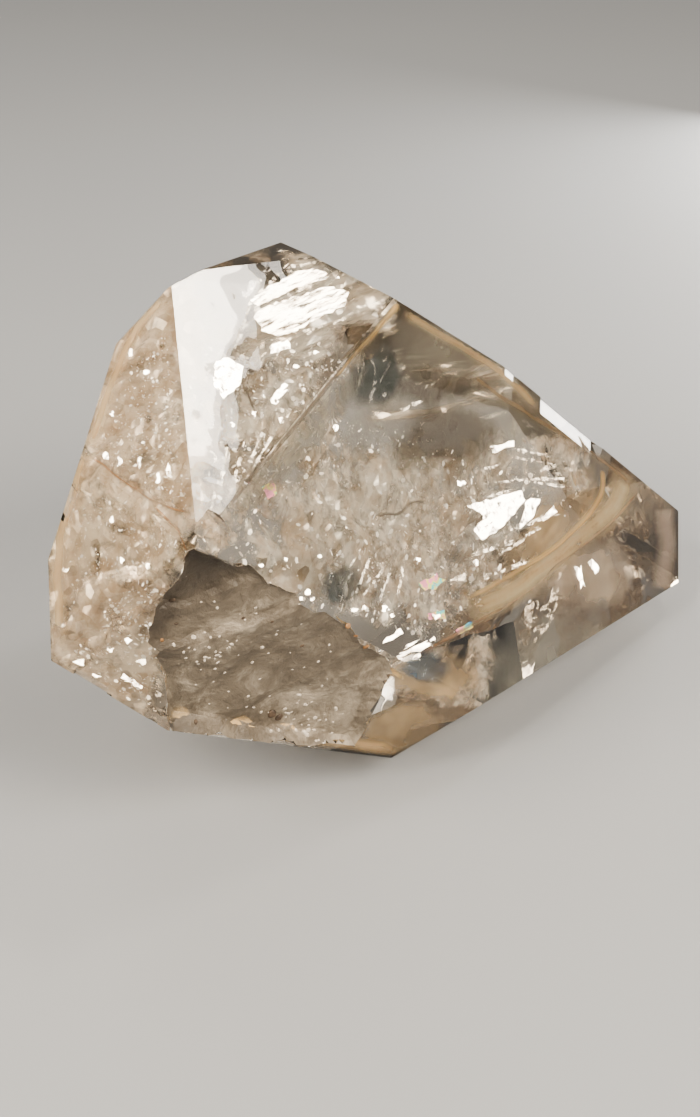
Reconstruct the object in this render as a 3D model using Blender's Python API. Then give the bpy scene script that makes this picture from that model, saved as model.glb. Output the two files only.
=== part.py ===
"""A herkimer diamond: one stubby, doubly ended quartz crystal, lying on its underside with its front tip to -Y.

Every flat face is one plane, placed about the crystal's own long axis. The crystal is a block trimmed by
these planes, and the broken hollow, the chips and the growth steps are then cut into it.
"""
import math
import random

import bmesh
import bpy
from mathutils import Matrix, Vector, noise

MM = 0.001

# The crystal's long axis, towards the front tip
AXIS_HEADING = -82.6        # degrees about Z, from +X
AXIS_RISE = 21.7            # degrees above the ground
HEART_HEIGHT = 13.5         # mm from the ground to the point that the faces are measured from
BLOCK_SIDE = 120.0          # mm, the block that the faces are cut from

# Each face: turn about the axis in degrees, tilt of its outward direction from the axis in degrees,
# distance from the heart in mm. A turn of 0 points to the crystal's right, 90 to its top.
FRONT_FACES = {
    "tip top right": (68.0, 40.0, 10.6),
    "tip right": (6.0, 44.0, 5.35),
    "tip bottom": (293.0, 40.5, 10.7),
    "tip bottom left": (238.0, 38.0, 16.95),
    "tip left": (176.0, 45.0, 19.15),
    "tip top left": (120.5, 41.5, 16.05),
    "top sliver": (85.0, 66.0, 13.35),
}
SIDE_FACES = {
    "side crown": (107.0, 90.0, 14.3),
    "side top right": (60.0, 90.0, 9.65),
    "side upper right": (53.0, 90.0, 10.0),
    "side right": (355.5, 90.0, 21.05),
    "side lower right": (297.0, 76.0, 12.8),
    "side bottom": (252.0, 90.0, 13.1),
    "side lower left": (234.0, 90.0, 14.95),
    "side left": (178.0, 90.0, 16.85),
    "side upper left": (159.0, 90.0, 15.35),
    "side shoulder": (134.0, 90.0, 15.45),
    "side top left": (114.5, 90.0, 14.75),
}
REAR_FACES = {
    "rear left": (184.0, 139.0, 14.0),
    "rear right": (356.0, 139.0, 24.3),
    "rear top right": (58.0, 130.0, 17.2),
    "rear top left": (114.0, 131.0, 15.0),
    "rear lower right": (301.0, 131.0, 21.6),
    "rear lower left": (240.0, 124.0, 16.5),
    "under right": (276.0, 113.0, 14.1),
    "under back": (268.0, 117.0, 14.1),
}

# The broken hollow in the lower front face: middle on that face, size, depth, rim
HOLLOW_FACE = "tip bottom"
HOLLOW_MIDDLE = (-8.7, 4.4)     # mm across the face and up it
HOLLOW_HALF = (8.0, 12.0)       # mm, half of the patch that holds the hollow
HOLLOW_STEP = 0.3               # mm between the points of its floor
HOLLOW_DEPTH = 0.62             # mm under the face at the middle
HOLLOW_LEAN = 0.075             # mm of depth lost for each mm to the right
HOLLOW_CLEAR = 0.8              # mm over the face, where the cutter stops following the rim
HOLLOW_TOP = 1.3                # mm over the face, the back of the cutter
RIM_WANDER = 0.4                # mm that the rim strays from its straight runs
# Straight runs of the rim: the way each faces in degrees, mm from the middle, rise of its wall for each mm
RIM = (
    (34.0, 4.15, 1.6),
    (10.0, 3.8, 0.5),
    (-41.0, 7.2, 0.6),
    (222.0, 4.7, 1.2),
    (172.0, 5.1, 2.2),
    (135.0, 6.85, 2.2),
)
LEDGES = ((5.3, 0.24, 0.4), (3.4, 0.3, 0.5), (1.2, -0.16, 0.6), (-3.4, -0.2, 0.9))   # mm up the floor, rise, run
RIPPLE = (3.1, 0.04)            # mm between the shell-like ripples, and their height
RIPPLE_START = (-5.5, 7.0)      # mm from the middle, where the break began
GRAIN = ((0.35, 0.16), (0.9, 0.07), (2.1, 0.03))     # (lumps for each mm, mm high) of the rough floor

# Chips on edges: the two faces that meet, mm along their edge, length, width, depth in mm, turn in degrees
CHIPS = (
    ("tip right", "side upper right", -9.6, 6.4, 3.0, 0.45, 3.0),
    ("tip right", "side upper right", -3.2, 1.3, 1.6, 0.2, 18.0),
    ("tip left", "side upper left", 0.9, 1.7, 1.6, 0.25, -12.0),
    ("tip top right", "tip right", -14.9, 1.5, 1.6, 0.2, 8.0),
    ("tip bottom left", "side lower left", -8.6, 1.8, 1.5, 0.2, 14.0),
    ("rear left", "rear top left", 4.0, 3.0, 2.2, 0.4, 10.0),
    ("rear right", "rear top right", -6.0, 2.4, 2.0, 0.3, -14.0),
)
# Edges worn by small nicks: the two faces, and the run of the edge in mm that they fall on
NICK_EDGES = (
    ("tip top right", "tip right", -13.0, 1.0),
    ("tip right", "tip bottom", -4.0, 5.0),
    ("tip bottom left", "side lower left", -10.5, -5.0),
    ("tip left", "side left", 2.5, 6.5),
    ("tip top right", "side top right", 4.0, 8.0),
    ("tip top left", "side upper left", -8.0, 4.0),
    ("rear left", "side upper left", -6.0, 6.0),
)
NICKS_EACH = 3
NICK_SIZE = (0.5, 1.0)          # mm
NICK_DEPTH = (0.1, 0.2)         # mm
NICK_SEED = 11

# Growth steps on the hidden end: face, turn of the step's line in degrees, mm from the face's middle, depth
STEPS = (
    ("rear left", 20.0, 5.5, 0.22),
    ("rear left", 205.0, 7.5, 0.16),
    ("rear top left", 80.0, 3.5, 0.2),
    ("rear top right", 160.0, 4.0, 0.2),
)
STEP_SIDE = 60.0                # mm, the side of the block that cuts a step
CUTTER_HEIGHT = 3.0             # mm, chips and steps are cut from this far outside

GLASS_COLOUR = (0.93, 0.88, 0.8, 1.0)
GLASS_ROUGHNESS = 0.04
QUARTZ_IOR = 1.544

FACES = {**FRONT_FACES, **SIDE_FACES, **REAR_FACES}
HEART = Vector((0.0, 0.0, HEART_HEIGHT))
heading = math.radians(AXIS_HEADING)
rise = math.radians(AXIS_RISE)
AXIS = Vector((math.cos(heading) * math.cos(rise), math.sin(heading) * math.cos(rise), math.sin(rise)))
RIGHT = Vector((0.0, 0.0, 1.0)).cross(AXIS).normalized()
UP = AXIS.cross(RIGHT)


def face_plane(name):
    """Outward direction of a face, and its point nearest the heart, in mm."""
    turn, tilt, distance = FACES[name]
    turn = math.radians(turn)
    tilt = math.radians(tilt)
    around = RIGHT * math.cos(turn) + UP * math.sin(turn)
    outward = around * math.sin(tilt) + AXIS * math.cos(tilt)
    return outward, HEART + outward * distance


def face_frame(name):
    """Placing of things drawn on a face: x across it, y up it towards the front tip, z out of it."""
    outward, point = face_plane(name)
    across = AXIS.cross(outward).normalized()
    up_face = outward.cross(across)
    turned = Matrix((across, up_face, outward)).transposed().to_4x4()
    return Matrix.Translation(point) @ turned


def edge_frame(name_a, name_b, along, turn):
    """Placing at a point of the edge of two faces: x along the edge, z straight out between the faces."""
    out_a, point_a = face_plane(name_a)
    out_b, point_b = face_plane(name_b)
    run = out_a.cross(out_b).normalized()
    outward = (out_a + out_b).normalized()
    rows = Matrix((out_a, out_b, run))
    point = rows.inverted() @ Vector((out_a.dot(point_a), out_b.dot(point_b), run.dot(HEART) + along))
    turned = Matrix((run, outward.cross(run), outward)).transposed().to_4x4()
    return Matrix.Translation(point) @ turned @ Matrix.Rotation(math.radians(turn), 4, "Z")


def in_metres(placing):
    """The same placing with its point in metres."""
    placing = placing.copy()
    placing.translation = placing.translation * MM
    return placing


def new_object(name, bm):
    """A scene object that holds the mesh."""
    bmesh.ops.recalc_face_normals(bm, faces=bm.faces)
    mesh = bpy.data.meshes.new(name)
    bm.to_mesh(mesh)
    bm.free()
    obj = bpy.data.objects.new(name, mesh)
    bpy.context.scene.collection.objects.link(obj)
    return obj


def trimmed_block():
    """The crystal's flat faces: a block cut by every face plane and by the ground."""
    bm = bmesh.new()
    bmesh.ops.create_cube(bm, size=BLOCK_SIDE * MM, matrix=Matrix.Translation(HEART * MM))
    planes = [face_plane(name) for name in FACES]
    planes.append((Vector((0.0, 0.0, -1.0)), Vector((0.0, 0.0, 0.0))))
    for outward, point in planes:
        everything = bm.verts[:] + bm.edges[:] + bm.faces[:]
        done = bmesh.ops.bisect_plane(bm, geom=everything, plane_co=point * MM, plane_no=outward, clear_outer=True)
        rim = [g for g in done["geom_cut"] if isinstance(g, bmesh.types.BMEdge)]
        if rim:
            bmesh.ops.contextual_create(bm, geom=rim)
    bmesh.ops.remove_doubles(bm, verts=bm.verts, dist=0.02 * MM)
    return new_object("crystal", bm)


def cut(body, cutter):
    """Takes the cutter's volume out of the body and removes the cutter."""
    cutter.hide_render = True
    cutter.display_type = "WIRE"
    modifier = body.modifiers.new("cut", "BOOLEAN")
    modifier.operation = "DIFFERENCE"
    modifier.solver = "EXACT"
    modifier.object = cutter
    with bpy.context.temp_override(object=body, active_object=body, selected_objects=[body]):
        bpy.ops.object.modifier_apply(modifier=modifier.name)
    bpy.data.objects.remove(cutter)


def smooth_step(x):
    """0 below 0, 1 above 1, rounded in between."""
    x = min(max(x, 0.0), 1.0)
    return x * x * (3.0 - 2.0 * x)


def hollow_height(x, y):
    """Height of the hollow's floor over the face in mm, at a point measured from the hollow's middle."""
    height = -HOLLOW_DEPTH + HOLLOW_LEAN * x
    for up_floor, ledge_rise, run in LEDGES:
        wander = 1.5 * noise.noise(Vector((x * 0.35, up_floor, 3.0)))
        height -= ledge_rise * smooth_step((y - up_floor - wander) / run)
    spacing, swell = RIPPLE
    from_start = math.hypot(x - RIPPLE_START[0], y - RIPPLE_START[1])
    height += swell * math.sin(2.0 * math.pi * from_start / spacing)
    for lumps, high in GRAIN:
        height += high * noise.noise(Vector((x * lumps, y * lumps, lumps)))
    wander = RIM_WANDER * noise.noise(Vector((x * 0.7, y * 0.7, 9.0)))
    wall = 0.0
    for turn, reach, slope in RIM:
        turn = math.radians(turn)
        outside = x * math.cos(turn) + y * math.sin(turn) - reach - wander
        wall = max(wall, outside * slope)
    return min(height + wall, HOLLOW_CLEAR)


def hollow_cutter():
    """A slab over the face, whose underside is the rough floor and rim of the break."""
    bm = bmesh.new()
    half_x, half_y = HOLLOW_HALF
    count_x = round(2 * half_x / HOLLOW_STEP)
    count_y = round(2 * half_y / HOLLOW_STEP)
    bmesh.ops.create_grid(bm, x_segments=count_x, y_segments=count_y, size=1.0)
    for vert in bm.verts:
        x = vert.co.x * half_x
        y = vert.co.y * half_y
        vert.co = Vector((x, y, hollow_height(x, y))) * MM
    grown = bmesh.ops.extrude_face_region(bm, geom=bm.faces[:])
    for item in grown["geom"]:
        if isinstance(item, bmesh.types.BMVert):
            item.co.z = HOLLOW_TOP * MM
    placing = face_frame(HOLLOW_FACE) @ Matrix.Translation((*HOLLOW_MIDDLE, 0.0))
    bmesh.ops.transform(bm, matrix=in_metres(placing), verts=bm.verts)
    return new_object("hollow cutter", bm)


def chip_cutter(name_a, name_b, along, length, width, depth, turn):
    """A wedge-ended block that flattens a short run of an edge."""
    bm = bmesh.new()
    bmesh.ops.create_cube(bm, size=1.0)
    for vert in bm.verts:
        spread = 1.0 + 0.5 * (vert.co.z > 0.0)
        vert.co.x *= length * spread * MM
        vert.co.y *= width * spread * MM
        vert.co.z = (-depth if vert.co.z < 0.0 else CUTTER_HEIGHT) * MM
    bmesh.ops.transform(bm, matrix=in_metres(edge_frame(name_a, name_b, along, turn)), verts=bm.verts)
    return new_object("chip cutter", bm)


def nick_cutter(name_a, name_b, start, end, dice):
    """A small faceted lump that bites an edge somewhere between the two ends of a run."""
    bm = bmesh.new()
    size = dice.uniform(*NICK_SIZE)
    bmesh.ops.create_icosphere(bm, subdivisions=1, radius=size * MM)
    depth = dice.uniform(*NICK_DEPTH)
    along = dice.uniform(start, end)
    placing = edge_frame(name_a, name_b, along, dice.uniform(0.0, 360.0))
    placing = placing @ Matrix.Translation((0.0, 0.0, size - depth))
    placing = placing @ Matrix.Rotation(dice.uniform(0.0, math.pi), 4, "X")
    bmesh.ops.transform(bm, matrix=in_metres(placing), verts=bm.verts)
    return new_object("nick cutter", bm)


def step_cutter(name, turn, offset, depth):
    """A block that lowers the part of a face beyond a line."""
    bm = bmesh.new()
    bmesh.ops.create_cube(bm, size=STEP_SIDE * MM)
    lift = Vector((offset + STEP_SIDE / 2, 0.0, STEP_SIDE / 2 - depth))
    placing = face_frame(name) @ Matrix.Rotation(math.radians(turn), 4, "Z") @ Matrix.Translation(lift)
    bmesh.ops.transform(bm, matrix=in_metres(placing), verts=bm.verts)
    return new_object("step cutter", bm)


def clear_quartz():
    """Pale, warm, clear crystal."""
    material = bpy.data.materials.new("clear quartz")
    material.use_nodes = True
    shader = material.node_tree.nodes["Principled BSDF"]
    shader.inputs["Base Color"].default_value = GLASS_COLOUR
    shader.inputs["Roughness"].default_value = GLASS_ROUGHNESS
    shader.inputs["IOR"].default_value = QUARTZ_IOR
    shader.inputs["Transmission Weight"].default_value = 1.0
    return material


def settle(body):
    """Moves the crystal sideways so that the origin is on the ground under the middle of its box."""
    xs = [v.co.x for v in body.data.vertices]
    ys = [v.co.y for v in body.data.vertices]
    zs = [v.co.z for v in body.data.vertices]
    move = Vector((-(min(xs) + max(xs)) / 2, -(min(ys) + max(ys)) / 2, -min(zs)))
    body.data.transform(Matrix.Translation(move))


def build():
    """Cuts the crystal and finishes its surface."""
    for old in list(bpy.data.objects):
        bpy.data.objects.remove(old)
    crystal = trimmed_block()
    for step in STEPS:
        cut(crystal, step_cutter(*step))
    cut(crystal, hollow_cutter())
    for chip in CHIPS:
        cut(crystal, chip_cutter(*chip))
    dice = random.Random(NICK_SEED)
    for name_a, name_b, start, end in NICK_EDGES:
        for _ in range(NICKS_EACH):
            cut(crystal, nick_cutter(name_a, name_b, start, end, dice))
    settle(crystal)
    crystal.data.materials.append(clear_quartz())


build()
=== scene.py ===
"""The looks of a herkimer diamond: clear, warm quartz with healed cracks, sparkling flecks and iron stain."""

import math
import random

import bmesh
import bpy
from mathutils import Matrix, Vector, noise
from mathutils.bvhtree import BVHTree


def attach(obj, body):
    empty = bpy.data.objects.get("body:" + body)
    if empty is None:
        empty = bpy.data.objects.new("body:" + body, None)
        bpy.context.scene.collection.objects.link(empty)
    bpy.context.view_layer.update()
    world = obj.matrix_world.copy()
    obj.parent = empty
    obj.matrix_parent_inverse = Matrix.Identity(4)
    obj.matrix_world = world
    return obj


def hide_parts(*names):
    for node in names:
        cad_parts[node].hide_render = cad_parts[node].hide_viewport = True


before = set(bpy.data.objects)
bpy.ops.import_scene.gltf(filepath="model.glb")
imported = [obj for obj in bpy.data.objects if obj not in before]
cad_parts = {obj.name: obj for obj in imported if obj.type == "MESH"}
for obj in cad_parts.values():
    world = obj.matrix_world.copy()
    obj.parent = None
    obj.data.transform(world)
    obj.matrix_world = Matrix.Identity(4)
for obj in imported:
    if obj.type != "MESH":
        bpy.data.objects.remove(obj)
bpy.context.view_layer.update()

MM = 0.001
QUARTZ_IOR = 1.544

# The camera, in mm, and how it looks down on the crystal
EYE = Vector((-2.10, -94.87, 60.0))
LOOK_DOWN = 28.7
FOCAL_PX = 1900.0
PICTURE = (700, 1117)

# The crystal's axis and the front faces: turn about the axis, tilt from it, distance from the heart in mm
AXIS_HEADING = -82.6
AXIS_RISE = 21.7
HEART = Vector((-1.10, -2.88, 13.5))
FACES = {
    "top right": (68.0, 40.0, 10.6),
    "right": (6.0, 44.0, 5.35),
    "bottom": (293.0, 40.5, 10.7),
    "bottom left": (238.0, 38.0, 16.95),
    "left": (176.0, 45.0, 19.15),
    "top left": (120.5, 41.5, 16.05),
}

# The lights: how far the mirrored panels stand from the face, and what all of them look at, in mm
KEY_FAR = 300.0
SOFT_FAR = 280.0
CENTRE = Vector((0.0, 0.0, 12.0))
SOFT_SIZE = 160.0
SOFT_POWER = 1.4
SOFT_COLOUR = (1.0, 0.9, 0.765)

# The champagne tint of the quartz: its absorption colour and how strongly it absorbs, per metre
BODY_COLOUR = (0.66, 0.59, 0.49, 1.0)
BODY_DENSITY = 36.0

heading = math.radians(AXIS_HEADING)
rise = math.radians(AXIS_RISE)
AXIS = Vector((math.cos(heading) * math.cos(rise), math.sin(heading) * math.cos(rise), math.sin(rise)))
ACROSS = Vector((0.0, 0.0, 1.0)).cross(AXIS).normalized()
UPWARD = AXIS.cross(ACROSS)


def face_plane(name):
    """Outward direction of a face and a point on it, in mm."""
    turn, tilt, distance = FACES[name]
    turn = math.radians(turn)
    tilt = math.radians(tilt)
    around = ACROSS * math.cos(turn) + UPWARD * math.sin(turn)
    outward = around * math.sin(tilt) + AXIS * math.cos(tilt)
    return outward, HEART + outward * distance


def sight(px, py):
    """The way the camera looks through a point of the picture."""
    down = math.radians(LOOK_DOWN)
    x = (px - PICTURE[0] / 2) / FOCAL_PX
    y = (py - PICTURE[1] / 2) / FOCAL_PX
    way = Vector((x, math.cos(down) - y * math.sin(down), -y * math.cos(down) - math.sin(down)))
    return way.normalized()


def entry(face, way):
    """Where a sight line meets a face."""
    outward, point = face_plane(face)
    return EYE + way * ((point - EYE).dot(outward) / way.dot(outward))


def bend(way, outward):
    """The way that light takes inside the quartz, after it enters a face."""
    ratio = 1.0 / QUARTZ_IOR
    cosine = -outward.dot(way)
    return way * ratio + outward * (ratio * cosine - math.sqrt(1.0 - ratio * ratio * (1.0 - cosine * cosine)))


def inside(face, px, py, deep):
    """A point seen through a face at a place in the picture, deep mm along the bent sight line."""
    way = sight(px, py)
    return entry(face, way) + bend(way, face_plane(face)[0]) * deep


def mirrored(outward, start, way, far):
    """A point far mm along the sight line's reflection."""
    return start + (way - outward * (2.0 * way.dot(outward))) * far


def in_mirror(face, px, py, far):
    """The point whose reflection in a face is seen at a place in the picture."""
    way = sight(px, py)
    return mirrored(face_plane(face)[0], entry(face, way), way, far)


# Two soft panels in front light the flaws.
# A film that flashes faces halfway between one of them and the camera.
SOFT_RIGHT = CENTRE + Vector((0.63, -0.53, 0.57)) * SOFT_FAR
SOFT_LEFT = CENTRE + Vector((-0.63, -0.53, 0.57)) * SOFT_FAR


def flash_way(face, spot):
    """The outward direction of a film at spot that flashes a soft panel to the camera through a face."""
    outward = face_plane(face)[0]
    seen = bend((spot - EYE).normalized(), outward)
    lit = bend((spot - (SOFT_LEFT if "left" in face else SOFT_RIGHT)).normalized(), outward)
    return (-lit - seen).normalized()


# Shader nodes

def new_material(name):
    """A node material, its tree and its Principled shader."""
    material = bpy.data.materials.new(name)
    material.use_nodes = True
    tree = material.node_tree
    return material, tree, tree.nodes["Principled BSDF"]


def put(tree, kind, inputs=None, **settings):
    """Adds a node; an input may be a value or another node's output socket."""
    node = tree.nodes.new(kind)
    for key, value in settings.items():
        setattr(node, key, value)
    for key, value in (inputs or {}).items():
        if isinstance(value, bpy.types.NodeSocket):
            tree.links.new(value, node.inputs[key])
        else:
            node.inputs[key].default_value = value
    return node


def reckon(tree, operation, *values):
    """A Math node's result."""
    return put(tree, "ShaderNodeMath", dict(enumerate(values)), operation=operation).outputs[0]


def between(tree, value, low, high, to_low=0.0, to_high=1.0):
    """A value mapped from one range to another."""
    inputs = {"Value": value, "From Min": low, "From Max": high, "To Min": to_low, "To Max": to_high}
    return put(tree, "ShaderNodeMapRange", inputs).outputs["Result"]


def ramp(tree, value, stops):
    """A colour ramp over a value: stops are (place, colour)."""
    node = put(tree, "ShaderNodeValToRGB", {"Fac": value})
    while len(node.color_ramp.elements) < len(stops):
        node.color_ramp.elements.new(0.5)
    for element, (spot, colour) in zip(node.color_ramp.elements, stops):
        element.position = spot
        element.color = (*colour, 1.0)
    return node.outputs["Color"]


def place(tree, seed=0.0):
    """The piece's own position, moved along for another pattern."""
    own = put(tree, "ShaderNodeTexCoord").outputs["Object"]
    if not seed:
        return own
    return put(tree, "ShaderNodeVectorMath", {0: own, 1: (seed, -seed * 0.7, seed * 1.3)},
        operation="ADD").outputs[0]


def clouds(tree, where, scale, detail=3.0, roughness=0.55, distortion=0.0):
    """Noise from 0 to 1."""
    inputs = {"Vector": where, "Scale": scale, "Detail": detail, "Roughness": roughness,
        "Distortion": distortion}
    return put(tree, "ShaderNodeTexNoise", inputs).outputs["Fac"]


def border_fade(tree, start, end):
    """1 in the middle of a sheet, 0 at its border."""
    uv = put(tree, "ShaderNodeUVMap", uv_map="sheet").outputs["UV"]
    parts = put(tree, "ShaderNodeSeparateXYZ", {"Vector": uv})
    along = reckon(tree, "ABSOLUTE", reckon(tree, "SUBTRACT", parts.outputs["X"], 0.5))
    over = reckon(tree, "ABSOLUTE", reckon(tree, "SUBTRACT", parts.outputs["Y"], 0.5))
    return between(tree, reckon(tree, "MAXIMUM", along, over), end, start)


def oval_fade(tree, start, end, seed=0.0):
    """1 in the middle of a sheet, 0 outside an uneven oval on it."""
    uv = put(tree, "ShaderNodeUVMap", uv_map="sheet").outputs["UV"]
    off = put(tree, "ShaderNodeVectorMath", {0: uv, 1: (0.5, 0.5, 0.0)},
        operation="DISTANCE").outputs["Value"]
    uneven = between(tree, clouds(tree, place(tree, seed + 5.0), 420.0, 4.0), 0.3, 0.7, -0.11, 0.11)
    return between(tree, reckon(tree, "ADD", off, uneven), end, start)


def quartz_body(tree):
    """The pale champagne tint that deepens with the thickness."""
    body = put(tree, "ShaderNodeVolumeAbsorption", {"Color": BODY_COLOUR, "Density": BODY_DENSITY})
    tree.links.new(body.outputs["Volume"], tree.nodes["Material Output"].inputs["Volume"])


def clear_quartz():
    """Warm clear quartz with the faint waves of natural faces."""
    material, tree, shader = new_material("clear quartz")
    where = place(tree)
    waves = clouds(tree, where, 240.0, 2.0)
    low = put(tree, "ShaderNodeBump", {"Height": waves, "Strength": 0.06, "Distance": 0.001})
    tree.links.new(low.outputs["Normal"], shader.inputs["Normal"])
    tint = ramp(tree, clouds(tree, where, 90.0, 4.0), [(0.35, (0.98, 0.965, 0.94)),
        (0.7, (0.98, 0.94, 0.87))])
    tree.links.new(tint, shader.inputs["Base Color"])
    shader.inputs["Roughness"].default_value = 0.015
    shader.inputs["IOR"].default_value = QUARTZ_IOR
    shader.inputs["Transmission Weight"].default_value = 1.0
    quartz_body(tree)
    return material


def along(tree, start, end):
    """0 at one point of the crystal and 1 at another, in mm."""
    run = (end - start) * MM
    own = put(tree, "ShaderNodeTexCoord").outputs["Object"]
    off = put(tree, "ShaderNodeVectorMath", {0: own, 1: start * MM}, operation="SUBTRACT").outputs[0]
    share = put(tree, "ShaderNodeVectorMath", {0: off, 1: run / run.length_squared}, operation="DOT_PRODUCT")
    return share.outputs["Value"]


def frosted_break():
    """The matte grey-tan skin of the broken hollow, with painted shade under its upper and left rim and
    painted light towards its lower right.
    """
    material, tree, shader = new_material("frosted break")
    where = place(tree)
    lumps = clouds(tree, where, 210.0, 7.0, 0.62)
    blots = clouds(tree, place(tree, 3.0), 620.0, 5.0, 0.7, 0.6)
    # Painted shade under the upper and left rim of the hollow, painted light towards its lower right
    low_spot = entry("bottom", sight(250, 650))
    top_shade = between(tree, along(tree, low_spot, entry("bottom", sight(236, 572))), 0.35, 1.0, 0.0, 0.3)
    left_shade = between(tree, along(tree, low_spot, entry("bottom", sight(164, 655))), 0.62, 1.0, 0.0, 0.25)
    right_light = between(tree, along(tree, low_spot, entry("bottom", sight(350, 700))), 0.3, 1.0, 0.0, 0.16)
    spread = between(tree, lumps, 0.3, 0.7, 0.05, 0.6)
    tone = reckon(tree, "ADD", spread, between(tree, blots, 0.3, 0.7, 0.0, 0.4))
    tone = reckon(tree, "SUBTRACT", tone, reckon(tree, "ADD", top_shade, left_shade))
    tone = reckon(tree, "ADD", tone, right_light)
    stops = [(0.1, (0.075, 0.058, 0.04)), (0.38, (0.135, 0.109, 0.079)), (0.58, (0.205, 0.168, 0.124)),
        (0.85, (0.5, 0.425, 0.33))]
    tree.links.new(ramp(tree, tone, stops), shader.inputs["Base Color"])
    grain = clouds(tree, where, 1500.0, 6.0, 0.7)
    tree.links.new(between(tree, grain, 0.35, 0.6, 0.3, 0.6), shader.inputs["Roughness"])
    low = put(tree, "ShaderNodeBump", {"Height": tone, "Strength": 0.45, "Distance": 0.0006})
    fine = put(tree, "ShaderNodeBump", {"Height": grain, "Strength": 0.5, "Distance": 0.0002,
        "Normal": low.outputs["Normal"]})
    tree.links.new(fine.outputs["Normal"], shader.inputs["Normal"])
    shader.inputs["IOR"].default_value = QUARTZ_IOR
    shader.inputs["Transmission Weight"].default_value = 0.3
    quartz_body(tree)
    return material


def grain_turn(face, start, end):
    """The turn that lays a pattern's long side along a line in the picture, on a face."""
    run = entry(face, sight(*end)) - entry(face, sight(*start))
    return tuple(run.to_track_quat("X", "Z").to_euler())


def drawn_out(tree, where, factor, turn):
    """A position whose patterns are drawn out along one direction."""
    inputs = {"Vector": where, "Scale": (factor, 1.0, 1.0), "Rotation": turn}
    return put(tree, "ShaderNodeMapping", inputs, vector_type="TEXTURE").outputs["Vector"]


def sparkling_veil(name, light, dark, cover, cell=900.0, shine=0.3, seed=0.0, stretch=0.0,
    turn=(0.0, 0.0, 0.0)):
    """A healed crack: a film of tiny mirrors, patchy, with clear gaps. cover is the share that is closed."""
    material, tree, shader = new_material(name)
    where = place(tree, seed)
    if stretch:
        where = drawn_out(tree, where, stretch, turn)
    cells = put(tree, "ShaderNodeTexVoronoi", {"Vector": where, "Scale": cell, "Randomness": 1.0})
    spread = put(tree, "ShaderNodeVectorMath", {0: cells.outputs["Color"], 1: (0.5, 0.5, 0.5)},
        operation="SUBTRACT")
    tilt = put(tree, "ShaderNodeVectorMath", {0: spread.outputs[0], "Scale": 1.0}, operation="SCALE")
    flat = put(tree, "ShaderNodeNewGeometry").outputs["Normal"]
    turned = put(tree, "ShaderNodeVectorMath", {0: flat, 1: tilt.outputs[0]}, operation="ADD")
    facing = put(tree, "ShaderNodeVectorMath", {0: turned.outputs[0]}, operation="NORMALIZE")
    tree.links.new(facing.outputs[0], shader.inputs["Normal"])
    patches = clouds(tree, where, cell * 0.3, 4.0, 0.68, 0.4)
    worn = reckon(tree, "ADD", patches, between(tree, border_fade(tree, 0.3, 0.5), 0.0, 1.0, -0.35, 0.0))
    low = 0.5 + (0.5 - cover) * 0.5
    tree.links.new(between(tree, worn, low - 0.08, low + 0.12, 0.0, 0.9), shader.inputs["Alpha"])
    own = put(tree, "ShaderNodeSeparateXYZ", {"Vector": cells.outputs["Color"]}).outputs["X"]
    soft = clouds(tree, where, cell * 0.4, 4.0, 0.66)
    zones = between(tree, clouds(tree, where, cell * 0.13, 3.0, 0.6), 0.3, 0.7, -0.16, 0.14)
    tone = reckon(tree, "ADD", reckon(tree, "MULTIPLY", own, 0.12), reckon(tree, "MULTIPLY", soft, 0.94))
    tone = reckon(tree, "ADD", tone, zones)
    middle = tuple((a + b) / 2 for a, b in zip(light, dark))
    tree.links.new(ramp(tree, tone, [(0.35, dark), (0.5, middle), (0.62, light)]),
        shader.inputs["Base Color"])
    shader.inputs["Metallic"].default_value = shine
    shader.inputs["Roughness"].default_value = 0.2
    return material


def iron_stain(name, light, dark, cover, most=1.0, seed=0.0):
    """Thin golden to rust-brown iron film, streaked along its run, that fades out at its sides and ends."""
    material, tree, shader = new_material(name)
    uv = put(tree, "ShaderNodeUVMap", uv_map="sheet").outputs["UV"]
    drawn = put(tree, "ShaderNodeMapping", {"Vector": uv, "Location": (seed, seed, 0.0),
        "Scale": (3.0, 4.0, 1.0)}).outputs["Vector"]
    streaks = clouds(tree, drawn, 1.0, 5.0, 0.62)
    blots = clouds(tree, place(tree, seed), 700.0, 6.0, 0.68)
    mixed = reckon(tree, "ADD", reckon(tree, "MULTIPLY", streaks, 0.6), reckon(tree, "MULTIPLY", blots, 0.4))
    tree.links.new(ramp(tree, mixed, [(0.36, dark), (0.62, light)]), shader.inputs["Base Color"])
    low = 0.5 + (0.5 - cover) * 0.4
    parts = put(tree, "ShaderNodeSeparateXYZ", {"Vector": uv})
    over = reckon(tree, "ABSOLUTE", reckon(tree, "SUBTRACT", parts.outputs["Y"], 0.5))
    run = reckon(tree, "ABSOLUTE", reckon(tree, "SUBTRACT", parts.outputs["X"], 0.5))
    closed = between(tree, mixed, low - 0.12, low + 0.1, 0.0, most)
    sides = reckon(tree, "MULTIPLY", between(tree, over, 0.5, 0.1), between(tree, run, 0.5, 0.4))
    tree.links.new(reckon(tree, "MULTIPLY", sides, closed), shader.inputs["Alpha"])
    shader.inputs["Roughness"].default_value = 0.35
    return material


def tint_and_painted_shade_film(name, light, dark, most, edge=0.44, seed=0.0):
    """A smooth inner film inside an oval that tints what is behind it; the dark ones are painted shade."""
    material, tree, shader = new_material(name)
    tone = clouds(tree, place(tree, seed), 260.0, 3.0)
    tree.links.new(ramp(tree, tone, [(0.35, dark), (0.65, light)]), shader.inputs["Base Color"])
    amount = between(tree, tone, 0.3, 0.6, most * 0.7, most)
    tree.links.new(reckon(tree, "MULTIPLY", oval_fade(tree, edge - 0.16, edge + 0.02, seed), amount),
        shader.inputs["Alpha"])
    shader.inputs["Roughness"].default_value = 0.12
    return material


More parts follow.
